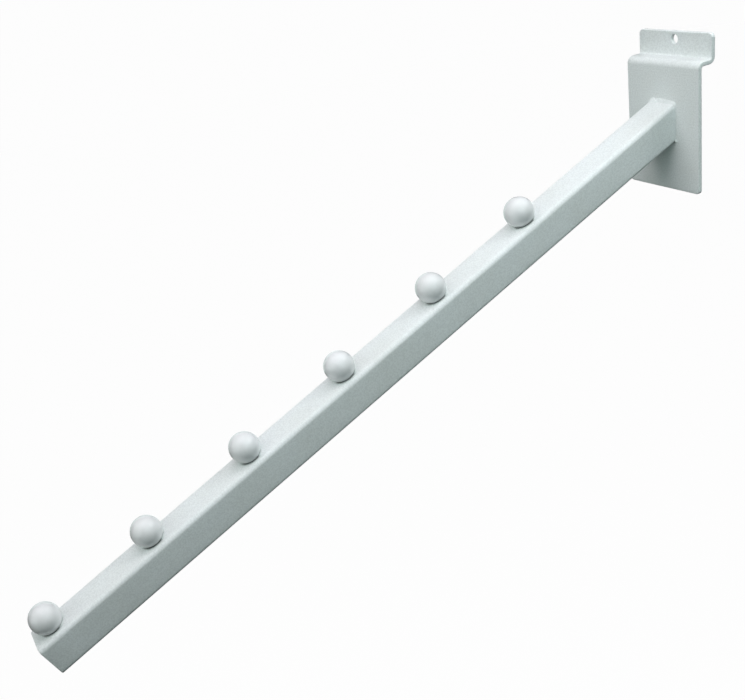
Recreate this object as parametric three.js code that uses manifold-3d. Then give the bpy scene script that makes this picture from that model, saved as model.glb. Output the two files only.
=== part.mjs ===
// Slatwall waterfall faceout: a bent steel bracket with a sloping square arm and six hook balls.
// Millimetres, +Z up. X runs across the bracket, +Y points into the wall.
// The origin lies on the bracket plate's back face, level with the arm's centre line at the plate.

import * as THREE from 'three';
import { mergeVertices } from 'three/addons/utils/BufferGeometryUtils.js';
import Module from 'manifold-3d';

// ---- Driving dimensions ----

const FIT_GAP = 0.3;

const PLATE_THICKNESS = 2.3;
const PLATE_WIDTH = 50.8;
const PLATE_BOTTOM = -36;
const LEDGE_TOP = 31.5;
const TONGUE_TOP = 44;
const LIP_GAP = 6.5;
const BEND_INNER_RADIUS = 1.2;
const TONGUE_CORNER_RADIUS = 2.5;
const PLATE_CORNER_RADIUS = 2;
const SCREW_HOLE_RADIUS = 2.3;
const SCREW_HOLE_DROP = 4;

const TUBE_SIDE = 19.05;
const TUBE_WALL = 1.5;
const TUBE_CORNER_RADIUS = 2.5;
const ARM_SLOPE = THREE.MathUtils.degToRad(22);
const ARM_TOP_LENGTH = 417;
const END_CAP_THICKNESS = 1.5;
const END_CAP_RECESS = 0.4;

const BALL_RADIUS = 7.8;
const BALL_CENTRE_HEIGHT = 5.8;
const BALL_COUNT = 6;
const BALL_PITCH = 61;
const FIRST_BALL_TO_TIP = 11;
const BALL_WELD_HEIGHT = 0.9;
const BALL_WELD_REACH = 0.9;

const ARM_WELD_LEG = 3;
const ARM_WELD_BULGE = 0.75;

const ARC_STEPS = 6;
const ROUND_STEPS = 32;
const MERGE_TOLERANCE = 1e-4;

// ---- Derived dimensions ----

const PLATE_FRONT = -PLATE_THICKNESS;
const BEND_OUTER_RADIUS = BEND_INNER_RADIUS + PLATE_THICKNESS;
const TUBE_HALF = TUBE_SIDE / 2;
const TUBE_HALF_CUT = TUBE_HALF / Math.cos(ARM_SLOPE);
// Distances along the arm are counted on its centre line, from the plate's front face.
const TOP_EDGE_SHIFT = TUBE_HALF * Math.tan(ARM_SLOPE);
const TIP_DISTANCE = ARM_TOP_LENGTH - TOP_EDGE_SHIFT;

// ---- Materials: white powder coat over steel ----

const powderCoat = { color: 0xe4e9e8, roughness: 0.35, metalness: 0 };
const weldCoat = { color: 0xdde3e2, roughness: 0.45, metalness: 0 };

// ---- Solid helpers ----

const wasm = await Module();
wasm.setup();

function toSolid(geometry) {
  geometry.deleteAttribute('normal');
  geometry.deleteAttribute('uv');
  const merged = mergeVertices(geometry, MERGE_TOLERANCE);
  return new wasm.Manifold(new wasm.Mesh({
    numProp: 3,
    vertProperties: merged.attributes.position.array,
    triVerts: new Uint32Array(merged.index.array),
  }));
}

function toGeometry(solid) {
  const { vertProperties, triVerts } = solid.getMesh();
  const geometry = new THREE.BufferGeometry();
  geometry.setAttribute('position', new THREE.BufferAttribute(vertProperties, 3));
  geometry.setIndex(new THREE.BufferAttribute(triVerts, 1));
  return geometry.toNonIndexed();
}

function addPiece(parent, name, geometry, look) {
  geometry.computeVertexNormals();
  const mesh = new THREE.Mesh(geometry, new THREE.MeshStandardMaterial(look));
  mesh.name = name;
  parent.add(mesh);
  return mesh;
}

// ---- Outlines ----

function roundedRectangle(width, height, radius) {
  const shape = new THREE.Shape();
  const right = width / 2 - radius;
  const top = height / 2 - radius;
  shape.absarc(right, top, radius, 0, Math.PI / 2);
  shape.absarc(-right, top, radius, Math.PI / 2, Math.PI);
  shape.absarc(-right, -top, radius, Math.PI, 1.5 * Math.PI);
  shape.absarc(right, -top, radius, 1.5 * Math.PI, 2 * Math.PI);
  shape.closePath();
  return shape;
}

// The bracket seen from its side, with the shape's x as the part's Y and the shape's y as its Z.
function bracketProfile() {
  const frontBendY = PLATE_FRONT + BEND_OUTER_RADIUS;
  const frontBendZ = LEDGE_TOP - BEND_OUTER_RADIUS;
  const tongueFront = LIP_GAP;
  const tongueBack = LIP_GAP + PLATE_THICKNESS;
  const backBendY = tongueFront - BEND_INNER_RADIUS;
  const backBendZ = LEDGE_TOP + BEND_INNER_RADIUS;
  const quarter = Math.PI / 2;
  const shape = new THREE.Shape();
  shape.moveTo(PLATE_FRONT, PLATE_BOTTOM);
  shape.lineTo(0, PLATE_BOTTOM);
  shape.absarc(frontBendY, frontBendZ, BEND_INNER_RADIUS, 2 * quarter, quarter, true);
  shape.absarc(backBendY, backBendZ, BEND_OUTER_RADIUS, -quarter, 0);
  shape.lineTo(tongueBack, TONGUE_TOP);
  shape.lineTo(tongueFront, TONGUE_TOP);
  shape.absarc(backBendY, backBendZ, BEND_INNER_RADIUS, 0, -quarter, true);
  shape.absarc(frontBendY, frontBendZ, BEND_OUTER_RADIUS, quarter, 2 * quarter);
  shape.closePath();
  return shape;
}

// The bracket seen from the front, with rounded tongue and plate corners and the screw hole.
function bracketOutline() {
  const shape = new THREE.Shape();
  const half = PLATE_WIDTH / 2;
  const upper = TONGUE_CORNER_RADIUS;
  const lower = PLATE_CORNER_RADIUS;
  const quarter = Math.PI / 2;
  shape.absarc(half - upper, TONGUE_TOP - upper, upper, 0, quarter);
  shape.absarc(-half + upper, TONGUE_TOP - upper, upper, quarter, 2 * quarter);
  shape.absarc(-half + lower, PLATE_BOTTOM + lower, lower, 2 * quarter, 3 * quarter);
  shape.absarc(half - lower, PLATE_BOTTOM + lower, lower, 3 * quarter, 4 * quarter);
  shape.closePath();
  const hole = new THREE.Path();
  hole.absarc(0, TONGUE_TOP - SCREW_HOLE_DROP, SCREW_HOLE_RADIUS, 0, 2 * Math.PI, true);
  shape.holes.push(hole);
  return shape;
}

// ---- Bracket ----

function bracketGeometry() {
  const cutDepth = 2 * PLATE_WIDTH;
  // The profile is run wider than the plate, so that the outline alone cuts the sides.
  const profileWidth = 1.1 * PLATE_WIDTH;
  const profile = new THREE.ExtrudeGeometry(bracketProfile(), {
    depth: profileWidth,
    bevelEnabled: false,
    curveSegments: ARC_STEPS,
  });
  // The shape's axes (x, y, extrusion) become the part's (Y, Z, X).
  profile.translate(0, 0, -profileWidth / 2);
  profile.applyMatrix4(new THREE.Matrix4().makeBasis(
    new THREE.Vector3(0, 1, 0),
    new THREE.Vector3(0, 0, 1),
    new THREE.Vector3(1, 0, 0),
  ));
  const outline = new THREE.ExtrudeGeometry(bracketOutline(), {
    depth: cutDepth,
    bevelEnabled: false,
    curveSegments: ARC_STEPS,
  });
  outline.rotateX(Math.PI / 2);
  outline.translate(0, cutDepth / 2, 0);
  return toGeometry(toSolid(profile).intersect(toSolid(outline)));
}

// ---- Arm group ----
// In the arm group X runs across, Y runs from the tip towards the plate, Z is square to the top face.
// Its origin is where the tube's centre line meets the plate's front face.

function tubeGeometry() {
  const overrun = 2 * TUBE_SIDE;
  const section = roundedRectangle(TUBE_SIDE, TUBE_SIDE, TUBE_CORNER_RADIUS);
  const bore = TUBE_SIDE - 2 * TUBE_WALL;
  section.holes.push(roundedRectangle(bore, bore, TUBE_CORNER_RADIUS - TUBE_WALL));
  const tube = new THREE.ExtrudeGeometry(section, {
    depth: TIP_DISTANCE + overrun,
    bevelEnabled: false,
    curveSegments: ARC_STEPS,
  });
  tube.rotateX(Math.PI / 2);
  tube.translate(0, overrun, 0);
  // A block standing in the wall's place trims the tube's upper end parallel to the plate.
  const blockSide = 4 * overrun;
  const wallBlock = new THREE.BoxGeometry(blockSide, blockSide, blockSide);
  wallBlock.translate(0, blockSide / 2 - FIT_GAP, 0);
  wallBlock.rotateX(-ARM_SLOPE);
  return toGeometry(toSolid(tube).subtract(toSolid(wallBlock)));
}

function endCapGeometry() {
  const side = TUBE_SIDE - 2 * TUBE_WALL - 2 * FIT_GAP;
  const cap = new THREE.ExtrudeGeometry(
    roundedRectangle(side, side, TUBE_CORNER_RADIUS - TUBE_WALL - FIT_GAP),
    { depth: END_CAP_THICKNESS, bevelEnabled: false, curveSegments: ARC_STEPS },
  );
  cap.rotateX(Math.PI / 2);
  cap.translate(0, -TIP_DISTANCE + END_CAP_RECESS + END_CAP_THICKNESS, 0);
  return cap;
}

// A ball with a flat foot, standing on the plane z = 0.
function ballGeometry() {
  const footHeight = FIT_GAP;
  const footAngle = Math.asin((footHeight - BALL_CENTRE_HEIGHT) / BALL_RADIUS);
  const profile = [new THREE.Vector2(0, footHeight)];
  const steps = ROUND_STEPS / 2;
  for (let i = 0; i < steps; i += 1) {
    const angle = footAngle + (Math.PI / 2 - footAngle) * (i / steps);
    profile.push(new THREE.Vector2(
      BALL_RADIUS * Math.cos(angle),
      BALL_CENTRE_HEIGHT + BALL_RADIUS * Math.sin(angle),
    ));
  }
  profile.push(new THREE.Vector2(0, BALL_CENTRE_HEIGHT + BALL_RADIUS));
  const ball = new THREE.LatheGeometry(profile, ROUND_STEPS);
  ball.rotateX(Math.PI / 2);
  return ball;
}

// The weld ring that fills the crevice round the ball's foot.
function ballWeldGeometry() {
  const clearance = BALL_RADIUS + FIT_GAP;
  const innerRadius = (height) => Math.sqrt(clearance ** 2 - (BALL_CENTRE_HEIGHT - height) ** 2);
  const foot = innerRadius(FIT_GAP);
  const crest = innerRadius(BALL_WELD_HEIGHT);
  const profile = [
    new THREE.Vector2(foot, FIT_GAP),
    new THREE.Vector2(foot + BALL_WELD_REACH, FIT_GAP),
    new THREE.Vector2(crest + FIT_GAP, BALL_WELD_HEIGHT),
    new THREE.Vector2(crest, BALL_WELD_HEIGHT),
    new THREE.Vector2(foot, FIT_GAP),
  ];
  const ring = new THREE.LatheGeometry(profile, ROUND_STEPS);
  ring.rotateX(Math.PI / 2);
  return ring;
}

// ---- Arm joint welds ----

// A fillet bead: two straight legs that meet at the given corner angle, closed by a bulging face.
function filletShape(cornerAngle) {
  const legEnd = new THREE.Vector2(ARM_WELD_LEG, 0);
  const farEnd = new THREE.Vector2(
    ARM_WELD_LEG * Math.cos(cornerAngle),
    ARM_WELD_LEG * Math.sin(cornerAngle),
  );
  const middle = new THREE.Vector2(
    Math.cos(cornerAngle / 2),
    Math.sin(cornerAngle / 2),
  ).multiplyScalar(ARM_WELD_LEG * Math.cos(cornerAngle / 2) + ARM_WELD_BULGE);
  const shape = new THREE.Shape();
  shape.moveTo(0, 0);
  shape.lineTo(legEnd.x, legEnd.y);
  shape.quadraticCurveTo(middle.x, middle.y, farEnd.x, farEnd.y);
  shape.closePath();
  return shape;
}

// A bead of the given length. Its first leg lies along the given direction and its second one turns
// from the first by the corner angle, round the bead's own length as the axis.
function beadGeometry(length, cornerAngle, firstLeg, alongBead) {
  const bead = new THREE.ExtrudeGeometry(filletShape(cornerAngle), {
    depth: length,
    bevelEnabled: false,
    curveSegments: ARC_STEPS,
  });
  bead.translate(0, 0, -length / 2);
  const secondAxis = new THREE.Vector3().crossVectors(alongBead, firstLeg);
  bead.applyMatrix4(new THREE.Matrix4().makeBasis(firstLeg, secondAxis, alongBead));
  return bead;
}

function addArmWelds(parent) {
  const across = TUBE_SIDE - 2 * TUBE_CORNER_RADIUS;
  const sideLength = 2 * TUBE_HALF_CUT - 2 * TUBE_CORNER_RADIUS;
  const beadY = PLATE_FRONT - FIT_GAP;
  const clearOfTube = TUBE_HALF_CUT + FIT_GAP / Math.cos(ARM_SLOPE);
  const out = new THREE.Vector3(0, -1, 0);
  const up = new THREE.Vector3(0, 0, 1);
  const down = new THREE.Vector3(0, 0, -1);
  const right = new THREE.Vector3(1, 0, 0);
  const left = new THREE.Vector3(-1, 0, 0);
  const square = Math.PI / 2;

  // Above the arm the corner is wider than square by the slope, and below it is tighter.
  const top = beadGeometry(across, square + ARM_SLOPE, up, right);
  addPiece(parent, 'arm_weld_top', top, weldCoat).position.set(0, beadY, clearOfTube);

  const bottom = beadGeometry(across, square - ARM_SLOPE, down, left);
  addPiece(parent, 'arm_weld_bottom', bottom, weldCoat).position.set(0, beadY, -clearOfTube);

  // The side beads lie on the plate with one leg and on the tube's upright side with the other.
  const rightBead = beadGeometry(sideLength, square, right, down);
  const sideX = TUBE_HALF + FIT_GAP;
  addPiece(parent, 'arm_weld_right', rightBead, weldCoat).position.set(sideX, beadY, 0);

  const leftBead = beadGeometry(sideLength, square, left, up);
  addPiece(parent, 'arm_weld_left', leftBead, weldCoat).position.set(-sideX, beadY, 0);
}

// ---- Assembly ----

const group = new THREE.Group();

addPiece(group, 'bracket_plate', bracketGeometry(), powderCoat);

const arm = new THREE.Group();
arm.position.set(0, PLATE_FRONT, 0);
arm.rotation.x = ARM_SLOPE;
group.add(arm);

addPiece(arm, 'arm_tube', tubeGeometry(), powderCoat);
addPiece(arm, 'arm_end_cap', endCapGeometry(), powderCoat);

for (let i = 0; i < BALL_COUNT; i += 1) {
  const distance = TIP_DISTANCE - FIRST_BALL_TO_TIP - i * BALL_PITCH;
  const ball = addPiece(arm, `hook_ball_${i + 1}`, ballGeometry(), powderCoat);
  ball.position.set(0, -distance, TUBE_HALF);
  const weld = addPiece(arm, `ball_weld_${i + 1}`, ballWeldGeometry(), weldCoat);
  weld.position.copy(ball.position);
}

addArmWelds(group);

export default group;
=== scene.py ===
import math

import bmesh
import bpy
from mathutils import Matrix, Vector, noise


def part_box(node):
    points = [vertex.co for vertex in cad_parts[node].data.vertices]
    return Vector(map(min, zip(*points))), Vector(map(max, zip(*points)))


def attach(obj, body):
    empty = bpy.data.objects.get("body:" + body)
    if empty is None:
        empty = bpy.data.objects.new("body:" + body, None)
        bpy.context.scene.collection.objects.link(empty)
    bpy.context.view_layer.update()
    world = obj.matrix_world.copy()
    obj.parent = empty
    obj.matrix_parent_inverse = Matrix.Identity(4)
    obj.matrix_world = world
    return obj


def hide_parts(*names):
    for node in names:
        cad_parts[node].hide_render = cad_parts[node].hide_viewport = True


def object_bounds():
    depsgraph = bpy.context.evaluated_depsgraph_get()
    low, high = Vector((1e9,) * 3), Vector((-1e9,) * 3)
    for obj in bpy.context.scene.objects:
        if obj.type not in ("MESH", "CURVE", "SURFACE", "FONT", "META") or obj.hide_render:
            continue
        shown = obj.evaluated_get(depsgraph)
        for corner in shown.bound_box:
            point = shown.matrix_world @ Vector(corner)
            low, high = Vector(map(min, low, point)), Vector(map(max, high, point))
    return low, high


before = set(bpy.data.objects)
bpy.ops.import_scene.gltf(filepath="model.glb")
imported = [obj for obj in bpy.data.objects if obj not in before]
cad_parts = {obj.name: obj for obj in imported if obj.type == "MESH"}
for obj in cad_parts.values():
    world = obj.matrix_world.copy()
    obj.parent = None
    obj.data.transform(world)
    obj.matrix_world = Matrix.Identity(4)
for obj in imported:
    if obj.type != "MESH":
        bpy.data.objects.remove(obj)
cad_low, cad_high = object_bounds()

# A white powder-coated slatwall arm. Metres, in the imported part's frame: +Z up, +Y into the wall.

MM = 0.001
BALL_COUNT = 6

# ---- Places, worked out from the CAD frame ----

bracket_low, bracket_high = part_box("bracket_plate")
tube_low, tube_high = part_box("arm_tube")


def box_middle(node):
    """The middle of a CAD node's box."""
    low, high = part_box(node)
    return (low + high) / 2


SHEET = 2.3 * MM
BEND_INNER = 1.2 * MM
LEDGE_TOP = 31.5 * MM
PLATE_CORNER = 2.0 * MM
TONGUE_CORNER = 2.5 * MM
HOLE_RADIUS = 2.3 * MM
HOLE_DROP = 4.0 * MM
PLATE_FRONT = bracket_low.y

# The stretches of the bent sheet, along its middle from the plate's bottom to the tongue's top.
BEND_MIDDLE = BEND_INNER + SHEET / 2
BEND_ARC = BEND_MIDDLE * math.pi / 2
PLATE_LENGTH = LEDGE_TOP - SHEET - BEND_INNER - bracket_low.z
LEDGE_LENGTH = bracket_high.y - 2 * SHEET - 2 * BEND_INNER - PLATE_FRONT
TONGUE_LENGTH = bracket_high.z - LEDGE_TOP - BEND_INNER
SHEET_LENGTH = PLATE_LENGTH + BEND_ARC + LEDGE_LENGTH + BEND_ARC + TONGUE_LENGTH

TUBE_HALF = (tube_high.x - tube_low.x) / 2
TUBE_WALL = 1.5 * MM
TUBE_CORNER = 2.5 * MM
ARC_STEPS = 10

BALL_RADIUS = (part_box("hook_ball_1")[1].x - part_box("hook_ball_1")[0].x) / 2
BALL_LIFT = 5.8 * MM

# Pieces that touch on the real arm keep this gap.
GAP = 0.3 * MM

# The balls stand in a line along the arm, so the first and last give its slope.
to_tip = (box_middle("hook_ball_1") - box_middle(f"hook_ball_{BALL_COUNT}")).normalized()
ARM_SLOPE = math.atan2(-to_tip.z, -to_tip.y)

# Arm space: X across, Y from the tip to the plate, Z square to the top face. Its origin is where the
# tube's centre line meets the plate's front.
arm_space = Matrix.Translation((0, PLATE_FRONT, 0)) @ Matrix.Rotation(ARM_SLOPE, 4, "X")
tip_centre = Vector((
    0,
    tube_low.y + TUBE_HALF * math.sin(ARM_SLOPE),
    tube_low.z + TUBE_HALF * math.cos(ARM_SLOPE),
))
TIP_DISTANCE = (tip_centre - arm_space.translation).length


# ---- Mesh helpers ----

def piece_from(name, mesh_source, slot, *nodes):
    """Turns a bmesh into an object of the part, on its body, in its slot, standing for the CAD nodes."""
    bmesh.ops.recalc_face_normals(mesh_source, faces=mesh_source.faces)
    mesh = bpy.data.meshes.new(name)
    mesh_source.to_mesh(mesh)
    mesh_source.free()
    piece = bpy.data.objects.new(name, mesh)
    bpy.context.scene.collection.objects.link(piece)
    mesh.materials.append(MATERIALS[slot])
    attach(piece, "root")
    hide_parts(*nodes)
    return piece


def shade_by_angle(piece, degrees):
    """Smooth shading, with hard edges where the faces meet at more than the given angle."""
    mesh = piece.data
    mesh.shade_smooth()
    mesh.set_sharp_from_angle(angle=math.radians(degrees))


def join_rings(target, near, far):
    """Closes the gap between two vertex rings of the same count."""
    count = len(near)
    for i in range(count):
        j = (i + 1) % count
        target.faces.new((near[i], near[j], far[j], far[i]))


def loft(target, rings):
    """Skins a list of point rings that all have the same count, and returns the vertex rings."""
    made = [[target.verts.new(point) for point in ring] for ring in rings]
    for near, far in zip(made, made[1:]):
        join_rings(target, near, far)
    return made


def arc_points(centre, radius, start, end, steps):
    """Points along an arc of a circle, both ends included."""
    points = []
    for i in range(steps + 1):
        angle = start + (end - start) * i / steps
        points.append((centre[0] + radius * math.cos(angle), centre[1] + radius * math.sin(angle)))
    return points


def rounded_square(half, corner):
    """The outline of a square with rounded corners, with some points along each flat."""
    flat_steps = 4
    quarter = math.pi / 2
    reach = half - corner
    outline = []
    for k, (x, y) in enumerate(((1, 1), (-1, 1), (-1, -1), (1, -1))):
        outline += arc_points((x * reach, y * reach), corner, k * quarter, (k + 1) * quarter, ARC_STEPS)
        here = Vector(outline[-1])
        turn = (k + 1) * quarter
        along = Vector((-math.sin(turn), math.cos(turn)))
        for i in range(1, flat_steps):
            outline.append(tuple(here + along * (2 * reach * i / flat_steps)))
    return outline


# ---- Materials ----

def node_maker(material):
    """Gives a function that adds a node with its settings, and the one that links two sockets."""
    tree = material.node_tree

    def make(kind, **settings):
        node = tree.nodes.new(kind)
        for key, value in settings.items():
            setattr(node, key, value)
        return node

    return make, tree.links.new


def powder_coat(name, colour, roughness, coat, mottle, peel, grain, painted_crevice_shade):
    """White powder coat: a satin plastic film with a fine orange peel, faint mottling and fine specks, with
    painted shade in its narrow crevices.

    coat is how much gloss lies over the film, and mottle how far its grain strays in brightness. peel and
    grain are the heights of the coarse and the fine relief, and painted_crevice_shade is how dark the painted
    shade in a narrow crevice gets."""
    material = bpy.data.materials.new(name)
    material.use_nodes = True
    material.node_tree.nodes.clear()
    make, link = node_maker(material)
    output = make("ShaderNodeOutputMaterial")
    shader = make("ShaderNodeBsdfPrincipled")
    link(shader.outputs["BSDF"], output.inputs["Surface"])
    shader.inputs["IOR"].default_value = 1.5
    shader.inputs["Specular IOR Level"].default_value = 0.14
    shader.inputs["Coat Weight"].default_value = coat
    shader.inputs["Coat Roughness"].default_value = 0.2

    place = make("ShaderNodeTexCoord").outputs["Object"]

    def noise_field(scale, detail, rough=0.5):
        field = make("ShaderNodeTexNoise")
        field.inputs["Scale"].default_value = scale
        field.inputs["Detail"].default_value = detail
        field.inputs["Roughness"].default_value = rough
        link(place, field.inputs["Vector"])
        return field.outputs["Fac"]

    def mapped(source, from_low, from_high, to_low, to_high):
        change = make("ShaderNodeMapRange")
        change.inputs["From Min"].default_value = from_low
        change.inputs["From Max"].default_value = from_high
        change.inputs["To Min"].default_value = to_low
        change.inputs["To Max"].default_value = to_high
        link(source, change.inputs["Value"])
        return change.outputs["Result"]

    def mix(factor, first, second):
        blend = make("ShaderNodeMix", data_type="RGBA")
        link(factor, blend.inputs["Factor"])
        for value, socket in ((first, blend.inputs["A"]), (second, blend.inputs["B"])):
            if isinstance(value, tuple):
                socket.default_value = (*value, 1)
            else:
                link(value, socket)
        return blend.outputs["Result"]

    # Film thickness varies slowly, so the white is a little warmer and darker where it is thin.
    thin = tuple(c * k for c, k in zip(colour, (0.955, 0.95, 0.935)))
    film = mapped(noise_field(38, 4), 0.35, 0.7, 0, 1)
    base = mix(film, colour, thin)
    # The powder leaves a fine grain, a little lighter and a little darker than the film.
    grains = mapped(noise_field(1300, 2, 0.6), 0.36, 0.64, 1 - mottle, 1 + mottle)
    # Painted shade: an ambient occlusion mask darkens the colour in narrow crevices, by the amount given.
    crevice = make("ShaderNodeAmbientOcclusion", samples=12)
    crevice.inputs["Distance"].default_value = 1.8 * MM
    reach = mapped(crevice.outputs["AO"], 0.25, 0.68, 1 - painted_crevice_shade, 1)
    grain_and_crevice_shade = make("ShaderNodeMath", operation="MULTIPLY")
    link(grains, grain_and_crevice_shade.inputs[0])
    link(reach, grain_and_crevice_shade.inputs[1])
    grained = make("ShaderNodeVectorMath", operation="SCALE")
    link(base, grained.inputs[0])
    link(grain_and_crevice_shade.outputs[0], grained.inputs["Scale"])
    base = grained.outputs[0]
    # A few pale grey specks of dust lie under the film.
    cells = make("ShaderNodeTexVoronoi", feature="F1")
    cells.inputs["Scale"].default_value = 260
    link(place, cells.inputs["Vector"])
    speck = mapped(cells.outputs["Distance"], 0.03, 0.075, 1, 0)
    rarity = mapped(noise_field(70, 2), 0.6, 0.66, 0, 0.5)
    speck_amount = make("ShaderNodeMath", operation="MULTIPLY")
    link(speck, speck_amount.inputs[0])
    link(rarity, speck_amount.inputs[1])
    dust = tuple(c * 0.72 for c in colour)
    link(mix(speck_amount.outputs[0], base, dust), shader.inputs["Base Color"])

    gloss = mapped(noise_field(95, 5, 0.6), 0.3, 0.7, roughness - 0.04, roughness + 0.06)
    link(gloss, shader.inputs["Roughness"])

    coarse = make("ShaderNodeBump")
    coarse.inputs["Strength"].default_value = 1
    coarse.inputs["Distance"].default_value = peel
    link(noise_field(950, 3), coarse.inputs["Height"])
    fine = make("ShaderNodeBump")
    fine.inputs["Strength"].default_value = 1
    fine.inputs["Distance"].default_value = grain
    link(noise_field(2600, 3, 0.65), fine.inputs["Height"])
    link(coarse.outputs["Normal"], fine.inputs["Normal"])
    link(fine.outputs["Normal"], shader.inputs["Normal"])
    return material


WHITE = (0.795, 0.83, 0.825)
BALL_WHITE = (0.82, 0.83, 0.835)
# Sheet, tube and end plate share a satin film. The balls are smoother and glossier.
RELIEF = {"peel": 0.03 * MM, "grain": 0.005 * MM}
SMOOTH_RELIEF = {"peel": 0.005 * MM, "grain": 0.001 * MM}
SATIN = {"colour": WHITE, "roughness": 0.46, "coat": 0.08, "mottle": 0.07, **RELIEF}
# Each coat darkens its narrow crevices with painted shade, by the amount given for it.
MATERIALS = {
    "bracket_coat": powder_coat("bracket_coat", painted_crevice_shade=0.95, **SATIN),
    "tube_coat": powder_coat("tube_coat", painted_crevice_shade=0.95, **SATIN),
    "cap_coat": powder_coat("cap_coat", painted_crevice_shade=0.8, **SATIN),
    "ball_coat": powder_coat(
        "ball_coat", colour=BALL_WHITE, roughness=0.34, coat=0.85, mottle=0.012, painted_crevice_shade=0.1, **SMOOTH_RELIEF,
    ),
    "weld_coat": powder_coat(
        "weld_coat", colour=WHITE, roughness=0.36, coat=0.2, mottle=0.06, painted_crevice_shade=0.9, **RELIEF,
    ),
}


# ---- Bracket: a flat sheet with rounded rims, bent twice ----

def bend_sheet(point):
    """Takes a point of the flat sheet, (across, up the sheet, out of its front), to its bent place."""
    across, up, out = point
    first_y = PLATE_FRONT + SHEET + BEND_INNER
    first_z = LEDGE_TOP - SHEET - BEND_INNER
    tongue_front = bracket_high.y - SHEET
    second_y = tongue_front - BEND_INNER
    second_z = LEDGE_TOP + BEND_INNER
    if up <= PLATE_LENGTH:
        return Vector((across, PLATE_FRONT + SHEET / 2 - out, bracket_low.z + up))
    up -= PLATE_LENGTH
    if up <= BEND_ARC:
        angle = up / BEND_MIDDLE
        radius = BEND_MIDDLE + out
        return Vector((across, first_y - radius * math.cos(angle), first_z + radius * math.sin(angle)))
    up -= BEND_ARC
    if up <= LEDGE_LENGTH:
        return Vector((across, first_y + up, LEDGE_TOP - SHEET / 2 + out))
    up -= LEDGE_LENGTH
    if up <= BEND_ARC:
        angle = up / BEND_MIDDLE
        radius = BEND_MIDDLE - out
        return Vector((across, second_y + radius * math.sin(angle), second_z - radius * math.cos(angle)))
    up -= BEND_ARC
    return Vector((across, tongue_front + SHEET / 2 - out, second_z + up))


def sheet_outline():
    """The outline of the flat sheet, with two rounded corners at the tongue and two at the plate."""
    half = (bracket_high.x - bracket_low.x) / 2
    quarter = math.pi / 2
    upper, lower = TONGUE_CORNER, PLATE_CORNER
    outline = arc_points((half - upper, SHEET_LENGTH - upper), upper, 0, quarter, ARC_STEPS)
    outline += arc_points((-half + upper, SHEET_LENGTH - upper), upper, quarter, 2 * quarter, ARC_STEPS)
    outline += arc_points((-half + lower, lower), lower, 2 * quarter, 3 * quarter, ARC_STEPS)
    outline += arc_points((half - lower, lower), lower, 3 * quarter, 4 * quarter, ARC_STEPS)
    return outline


def make_bracket():
    """The bent sheet: its outline and hole are made flat, thickened, given rounded rims and then bent."""
    rim = 0.45 * MM
    plate_rows, bend_rows, hole_steps = 8, 20, 48
    outline = sheet_outline()
    hole = arc_points((0, SHEET_LENGTH - HOLE_DROP), HOLE_RADIUS, 0, 2 * math.pi, hole_steps)[:-1]

    sheet = bmesh.new()
    edges = []
    for ring in (outline, hole):
        corners = [sheet.verts.new((x, y, -SHEET / 2)) for x, y in ring]
        for i, corner in enumerate(corners):
            edges.append(sheet.edges.new((corner, corners[(i + 1) % len(corners)])))
    filled = bmesh.ops.triangle_fill(sheet, edges=edges, use_beauty=True)
    faces = [f for f in filled["geom"] if isinstance(f, bmesh.types.BMFace)]
    raised = bmesh.ops.extrude_face_region(sheet, geom=faces)
    top = [v for v in raised["geom"] if isinstance(v, bmesh.types.BMVert)]
    bmesh.ops.translate(sheet, vec=(0, 0, SHEET), verts=top)
    bmesh.ops.recalc_face_normals(sheet, faces=sheet.faces)
    rims = [e for e in sheet.edges if len(e.link_faces) == 2 and e.calc_face_angle() > math.radians(60)]
    bmesh.ops.bevel(sheet, geom=rims, offset=rim, segments=4, profile=0.5, affect="EDGES")

    # Rows of edges across the sheet let it bend smoothly.
    rows = [PLATE_LENGTH * i / plate_rows for i in range(1, plate_rows)]
    bend_starts = (PLATE_LENGTH, PLATE_LENGTH + BEND_ARC + LEDGE_LENGTH)
    for start in bend_starts:
        rows += [start + BEND_ARC * i / bend_rows for i in range(bend_rows + 1)]
    for row in rows:
        everything = sheet.verts[:] + sheet.edges[:] + sheet.faces[:]
        bmesh.ops.bisect_plane(sheet, geom=everything, plane_co=(0, row, 0), plane_no=(0, 1, 0))
    for vert in sheet.verts:
        vert.co = bend_sheet(vert.co)
    piece = piece_from("bracket_sheet", sheet, "bracket_coat", "bracket_plate")
    shade_by_angle(piece, 40)


# ---- Arm tube and its end plate ----

def on_arm(x, along, height):
    """A point of arm space in the part's frame. along runs from the plate towards the tip."""
    return arm_space @ Vector((x, -along, height))


def tube_rings(outline, end_inset):
    """Rings of points from the plate's face to the tip, with the last few rounding the tip's rim."""
    stations = 40
    rings = []
    for i in range(stations + 1):
        share = i / stations
        ring = []
        for x, height in outline:
            # The wall end is cut along the plate, so each line of the tube starts at its own place.
            start = -height * math.tan(ARM_SLOPE)
            along = start + (TIP_DISTANCE - end_inset - start) * share
            ring.append(on_arm(x, along, height))
        rings.append(ring)
    return rings


def rim_rings(half, corner, rim, steps, inward):
    """Rings that round the edge between a side wall and the tip's face, from the wall to the face."""
    rings = []
    for i in range(1, steps + 1):
        angle = math.pi / 2 * i / steps
        shrink = rim * (1 - math.cos(angle))
        along = TIP_DISTANCE - rim + rim * math.sin(angle)
        size = half - shrink if inward else half + shrink
        outline = rounded_square(size, corner + (size - half))
        rings.append([on_arm(x, along, height) for x, height in outline])
    return rings


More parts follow.
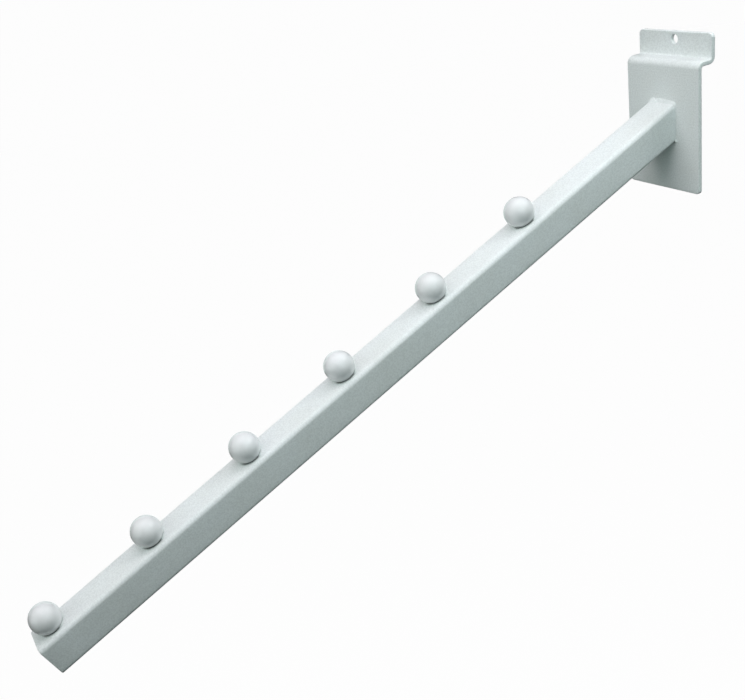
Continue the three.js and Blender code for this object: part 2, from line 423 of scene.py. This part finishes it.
def make_tube():
    """The tube's skin, outside and in the bore, joined at the tip's rim and at the cut along the plate."""
    outer_rim, inner_rim = 0.4 * MM, 0.2 * MM
    bore_half = TUBE_HALF - TUBE_WALL
    bore_corner = TUBE_CORNER - TUBE_WALL
    outer = rounded_square(TUBE_HALF, TUBE_CORNER)
    inner = rounded_square(bore_half, bore_corner)
    tube = bmesh.new()
    outside = tube_rings(outer, outer_rim) + rim_rings(TUBE_HALF, TUBE_CORNER, outer_rim, 4, True)
    inside = tube_rings(inner, inner_rim) + rim_rings(bore_half, bore_corner, inner_rim, 3, False)
    outside_made = loft(tube, outside)
    inside_made = loft(tube, inside)
    join_rings(tube, outside_made[-1], inside_made[-1])
    join_rings(tube, outside_made[0], inside_made[0])
    piece = piece_from("arm_tube_skin", tube, "tube_coat", "arm_tube")
    shade_by_angle(piece, 40)


def make_end_plate():
    """The flush plate inside the tip, with a rounded rim and a flat face."""
    low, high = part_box("arm_end_cap")
    half = (high.x - low.x) / 2
    recess, depth, rim = 0.4 * MM, 1.5 * MM, 0.35 * MM
    rim_steps = 4
    corner = TUBE_CORNER - TUBE_WALL - GAP
    plate = bmesh.new()
    rings = []
    for along, inset in ((depth, rim), (depth - rim, 0), (rim, 0)):
        outline = rounded_square(half - inset, corner)
        rings.append([on_arm(x, TIP_DISTANCE - recess - along, h) for x, h in outline])
    for i in range(1, rim_steps + 1):
        angle = math.pi / 2 * i / rim_steps
        outline = rounded_square(half - rim * (1 - math.cos(angle)), corner)
        along = TIP_DISTANCE - recess - rim + rim * math.sin(angle)
        rings.append([on_arm(x, along, h) for x, h in outline])
    made = loft(plate, rings)
    for ring in (made[0], made[-1]):
        plate.faces.new(ring)
    piece = piece_from("arm_end_plate", plate, "cap_coat", "arm_end_cap")
    shade_by_angle(piece, 40)


# ---- Hook balls and their weld rings ----

def ball_foot(index):
    """The space of ball number index: its origin is on the tube's top face, under the ball's centre."""
    middle = arm_space.inverted() @ box_middle(f"hook_ball_{index}")
    return arm_space @ Matrix.Translation((0, middle.y, TUBE_HALF))


def make_ball(index):
    """A smooth steel ball with a flat foot. The powder coat rounds the foot's rim."""
    around, up, rim_steps = 72, 48, 4
    rim = 0.12 * MM
    cut = BALL_LIFT - GAP
    foot_angle = math.asin(-(cut - rim) / BALL_RADIUS)
    foot_radius = BALL_RADIUS * math.cos(foot_angle) - rim
    centre = ball_foot(index)
    profile = []
    for i in range(rim_steps):
        angle = -math.pi / 2 + (foot_angle + math.pi / 2) * i / rim_steps
        profile.append((foot_radius + rim * math.cos(angle), GAP + rim + rim * math.sin(angle)))
    for i in range(up):
        angle = foot_angle + (math.pi / 2 - foot_angle) * i / up
        profile.append((BALL_RADIUS * math.cos(angle), BALL_LIFT + BALL_RADIUS * math.sin(angle)))
    ball = bmesh.new()
    turns = [2 * math.pi * k / around for k in range(around)]
    made = loft(ball, [
        [centre @ Vector((radius * math.cos(t), radius * math.sin(t), height)) for t in turns]
        for radius, height in profile
    ])
    ball.faces.new(made[0])
    pole = ball.verts.new(centre @ Vector((0, 0, BALL_LIFT + BALL_RADIUS)))
    for k in range(around):
        ball.faces.new((made[-1][k], made[-1][(k + 1) % around], pole))
    piece = piece_from(f"ball_{index}", ball, "ball_coat", f"hook_ball_{index}")
    shade_by_angle(piece, 60)


# The weld under a ball leaves a crevice open on one side, centred on OPEN_TURN, and fills it elsewhere.
OPEN_TURN = math.radians(-26)
OPEN_HALF = math.radians(40)
OPEN_FADE = math.radians(24)


def weld_fill(turn):
    """How full the weld under a ball is: 0 in the middle of its open side and 1 away from it."""
    away = abs((turn - OPEN_TURN + math.pi) % (2 * math.pi) - math.pi)
    share = min(max((away - OPEN_HALF) / OPEN_FADE, 0), 1)
    return share * share * (3 - 2 * share)


def make_ball_weld(index):
    """The hollow uneven weld under the ball: a neck up to the ball's foot, with a skirt round it."""
    around, across = 96, 20
    foot = ball_foot(index)
    sink, clearance = 0.05 * MM, 0.05 * MM
    inner, neck, full_reach, hollow_reach = 3.0 * MM, 3.8 * MM, 7.1 * MM, 5.8 * MM
    film, hollow_rise, full_rise, full_slope = 0.03 * MM, 0.27 * MM, 1.3 * MM, 2.0 * MM
    ring_mesh = bmesh.new()
    rings = []
    for k in range(around):
        turn = 2 * math.pi * k / around
        direction = Vector((math.cos(turn), math.sin(turn), 0))
        ripple = noise.noise(direction * 2.3 + Vector((0, 0, 7.1 * index)))
        fill = weld_fill(turn + 0.15 * ripple)
        last = hollow_reach + (full_reach - hollow_reach) * fill + 0.2 * ripple * MM
        ring = [
            foot @ (direction * inner + Vector((0, 0, -sink))),
            foot @ (direction * inner + Vector((0, 0, GAP - clearance))),
        ]
        for i in range(across + 1):
            share = i / across
            radius = neck + (last - neck) * share
            hollow = film + hollow_rise * (1 - share) ** 3
            full = film + full_rise * min((last - radius) / full_slope, 1) ** 2
            under_ball = BALL_LIFT - math.sqrt(BALL_RADIUS ** 2 - radius ** 2)
            ceiling = max(under_ball, GAP) - clearance
            height = min(hollow * (1 - fill) + full * fill, ceiling)
            ring.append(foot @ (direction * radius + Vector((0, 0, height))))
        ring.append(foot @ (direction * (last + sink) + Vector((0, 0, -sink))))
        rings.append(ring)
    made = loft(ring_mesh, rings)
    join_rings(ring_mesh, made[-1], made[0])
    piece = piece_from(f"ball_weld_ring_{index}", ring_mesh, "weld_coat", f"ball_weld_{index}")
    shade_by_angle(piece, 60)


# ---- Welds of the arm joint ----

def tube_outline_point(turn):
    """A point of the tube's outline, and its outward normal, in arm space.

    turn runs from 0 at the middle of the right side, anticlockwise seen from the tip, to 4 once round."""
    reach = TUBE_HALF - TUBE_CORNER
    arc = math.pi / 2 * TUBE_CORNER
    side = 2 * reach + arc
    distance = (turn % 4) * side
    number = int(distance // side)
    distance -= number * side
    quarter = Matrix.Rotation(number * math.pi / 2, 2)
    if distance <= reach:
        point, normal = Vector((TUBE_HALF, distance)), Vector((1, 0))
    elif distance <= reach + arc:
        angle = (distance - reach) / TUBE_CORNER
        normal = Vector((math.cos(angle), math.sin(angle)))
        point = Vector((reach, reach)) + TUBE_CORNER * normal
    else:
        point, normal = Vector((2 * reach + arc - distance, TUBE_HALF)), Vector((0, 1))
    return quarter @ point, quarter @ normal


def blend_between(turn, values):
    """A smooth value between four, one for each side of the tube: right, top, left and bottom."""
    low = math.floor(turn)
    share = turn - low
    share = share * share * (3 - 2 * share)
    return values[low % 4] * (1 - share) + values[(low + 1) % 4] * share


# How far the fillet reaches up the plate and down the arm, and how full it is, from 0, hollow, to 1,
# square, at the right, top, left and bottom.
PLATE_LEGS = (0.5 * MM, 1.6 * MM, 1.2 * MM, 0.4 * MM)
ARM_LEGS = (0.9 * MM, 1.0 * MM, 1.8 * MM, 0.5 * MM)
FULLNESS = (0.2, 0.55, 0.2, 0.3)

# Each lump of the weld, or dip where its heights are negative: its turn round the tube, its width in
# turns, and its height on the plate and on the arm as a share of the leg.
WELD_LUMPS = (
    (0.52, 0.05, 0.1, 0.3),
    (1.1, 0.03, 0.1, 0.4),
    (1.21, 0.02, 0.1, 1.0),
    (1.28, 0.015, -0.1, -0.4),
    (1.35, 0.025, 0.15, 1.2),
    (3.53, 0.03, 3.0, 0.0),
)


def weld_lumps(turn):
    """How far the weld swells on the plate and on the arm, where the run stopped and started."""
    on_plate = on_arm_side = 1 + 0.05 * noise.noise(Vector((turn * 9, 3, 0)))
    for place, width, plate_height, arm_height in WELD_LUMPS:
        away = (turn % 4 - place) / width
        near = math.exp(-away * away)
        on_plate += plate_height * near
        on_arm_side += arm_height * near
    return on_plate, on_arm_side


def make_weld(name, node, first_turn):
    """A stretch of the fillet weld round the tube, where it meets the plate, one side of the tube long."""
    along_steps, face_steps = 90, 12
    sink, most_full = 0.12 * MM, 0.9
    coarse_grain, fine_grain = 0.06, 0.02
    down_the_arm = arm_space.to_3x3() @ Vector((0, -1, 0))
    weld = bmesh.new()
    rings = []
    for i in range(along_steps + 1):
        turn = first_turn + i / along_steps
        point, normal = tube_outline_point(turn)
        corner = on_arm(point.x, -point.y * math.tan(ARM_SLOPE), point.y)
        across_plate = Vector((normal.x / math.cos(ARM_SLOPE), 0, normal.y)).normalized()
        outward = arm_space.to_3x3() @ Vector((normal.x, 0, normal.y))
        inside = corner - across_plate * sink + Vector((0, sink, 0))
        plate_swell, arm_swell = weld_lumps(turn)
        plate_leg = blend_between(turn, PLATE_LEGS) * plate_swell
        arm_leg = blend_between(turn, ARM_LEGS) * arm_swell
        fullness = min(blend_between(turn, FULLNESS) * plate_swell, most_full)
        on_plate = corner + across_plate * plate_leg + Vector((0, 0.5 * sink, 0))
        on_tube = corner + down_the_arm * arm_leg - outward * 0.5 * sink
        pull = corner + (on_plate + on_tube - 2 * corner) * fullness
        ring = [inside]
        for j in range(face_steps + 1):
            t = j / face_steps
            spot = on_plate * (1 - t) ** 2 + pull * 2 * t * (1 - t) + on_tube * t ** 2
            grain = noise.noise(spot / MM * 0.9) * coarse_grain + noise.noise(spot / MM * 2.6) * fine_grain
            push = (Vector((0, -1, 0)) + across_plate).normalized()
            ring.append(spot + push * grain * MM * math.sin(math.pi * t))
        rings.append(ring)
    made = loft(weld, rings)
    weld.faces.new(made[0])
    weld.faces.new(made[-1])
    piece = piece_from(name, weld, "weld_coat", node)
    shade_by_angle(piece, 50)


def make_arm_welds():
    """The four stretches of the weld, one for each side of the tube, from corner to corner."""
    sides = (
        ("weld_bead_right", "arm_weld_right", -0.5),
        ("weld_bead_top", "arm_weld_top", 0.5),
        ("weld_bead_left", "arm_weld_left", 1.5),
        ("weld_bead_bottom", "arm_weld_bottom", 2.5),
    )
    for name, node, first_turn in sides:
        make_weld(name, node, first_turn)


# ---- Floor, backdrop, light and camera ----

def plain_material(name, colour, glow):
    """A dull surface with an even glow."""
    material = bpy.data.materials.new(name)
    material.use_nodes = True
    shader = material.node_tree.nodes["Principled BSDF"]
    shader.inputs["Base Color"].default_value = (*colour, 1)
    shader.inputs["Roughness"].default_value = 0.9
    shader.inputs["Specular IOR Level"].default_value = 0
    shader.inputs["Emission Color"].default_value = (1, 1, 1, 1)
    shader.inputs["Emission Strength"].default_value = glow
    return material


def make_stage():
    """A pale floor and a round backdrop that glow evenly and give the part no light."""
    drop, far = 1.2, 8
    dark, glow = (0.02, 0.02, 0.02), 0.98
    bpy.ops.mesh.primitive_circle_add(vertices=96, radius=far, fill_type="NGON",
                                      location=(0, 0, cad_low.z - drop))
    floor = bpy.context.object
    floor.name = "floor"
    floor.data.materials.append(plain_material("pale_floor", dark, glow))
    bpy.ops.mesh.primitive_cylinder_add(vertices=96, radius=far, depth=2 * far, end_fill_type="NGON",
                                        location=(0, 0, cad_low.z - drop + far))
    wall = bpy.context.object
    wall.name = "backdrop"
    wall.data.flip_normals()
    wall.data.materials.append(plain_material("pale_backdrop", dark, glow))
    for part in (floor, wall):
        part.visible_diffuse = False
        part.visible_glossy = False
        part.visible_shadow = False


def area_light(name, place, target, size, power, colour):
    """A square soft box, aimed from its place at the target."""
    light = bpy.data.lights.new(name, "AREA")
    light.shape = "SQUARE"
    light.size = size
    light.energy = power
    light.color = colour
    holder = bpy.data.objects.new(name, light)
    holder.visible_camera = False
    holder.location = place
    aim = Vector(target) - Vector(place)
    holder.rotation_euler = aim.to_track_quat("-Z", "Y").to_euler()
    bpy.context.scene.collection.objects.link(holder)


def make_lights():
    """Soft boxes all round, a smaller one as the key, high on the right behind the plate, and a dim world."""
    middle = (0, -0.19, -0.06)
    area_light("overhead_front", (0, -0.4, 0.75), (0, -0.15, -0.05), 0.85, 3.9, (1.08, 1.0, 1.07))
    area_light("overhead_wall", (0, 0.3, 0.75), (0, -0.15, -0.05), 0.85, 2.6, (0.98, 1.0, 1.05))
    area_light("key", (0.55, 0.65, 1.1), middle, 0.28, 3.1, (1.0, 1.0, 1.0))
    area_light("front", (0, -3.0, 0.97), middle, 3.2, 41, (0.91, 1.0, 0.97))
    area_light("beside_camera", (0.5, -0.17, 0.3), (0, 0, 0), 0.5, 1.33, (0.81, 1.0, 1.0))
    area_light("left", (-1.5, -0.19, -0.06), middle, 1.6, 6, (0.8, 1.0, 0.95))
    area_light("wall_side", (0.61, 0.61, 0.5), (0, 0, 0), 1.2, 2.9, (0.9, 1.0, 0.96))
    area_light("low_behind", (-0.87, 0.68, -0.92), middle, 1.6, 4.8, (0.87, 1.0, 0.98))
    world = bpy.data.worlds.new("studio")
    world.use_nodes = True
    background = world.node_tree.nodes["Background"]
    background.inputs["Color"].default_value = (0.86, 1.0, 0.98, 1)
    background.inputs["Strength"].default_value = 0.01
    bpy.context.scene.world = world


def make_camera():
    """The camera, in front of the arm on its right and above it, with a small roll and shift."""
    camera = bpy.data.cameras.new("photo_camera")
    camera.sensor_width = 36
    camera.lens = 49.2
    camera.shift_x, camera.shift_y = 0.071, 0.061
    camera.clip_start, camera.clip_end = 0.01, 200
    place = (0.4146, -0.3910, 0.1459)
    holder = bpy.data.objects.new("photo_camera", camera)
    heading, tilt, roll = 68.08, 26.73, -11.0
    holder.matrix_world = (
        Matrix.Translation(place)
        @ Matrix.Rotation(math.radians(heading), 4, "Z")
        @ Matrix.Rotation(math.radians(90 - tilt), 4, "X")
        @ Matrix.Rotation(math.radians(roll), 4, "Z")
    )
    bpy.context.scene.collection.objects.link(holder)
    bpy.context.scene.camera = holder
    bpy.context.scene.view_settings.view_transform = "Standard"


make_camera()
make_stage()
make_lights()
make_bracket()
make_tube()
make_end_plate()
for number in range(1, BALL_COUNT + 1):
    make_ball(number)
    make_ball_weld(number)
make_arm_welds()
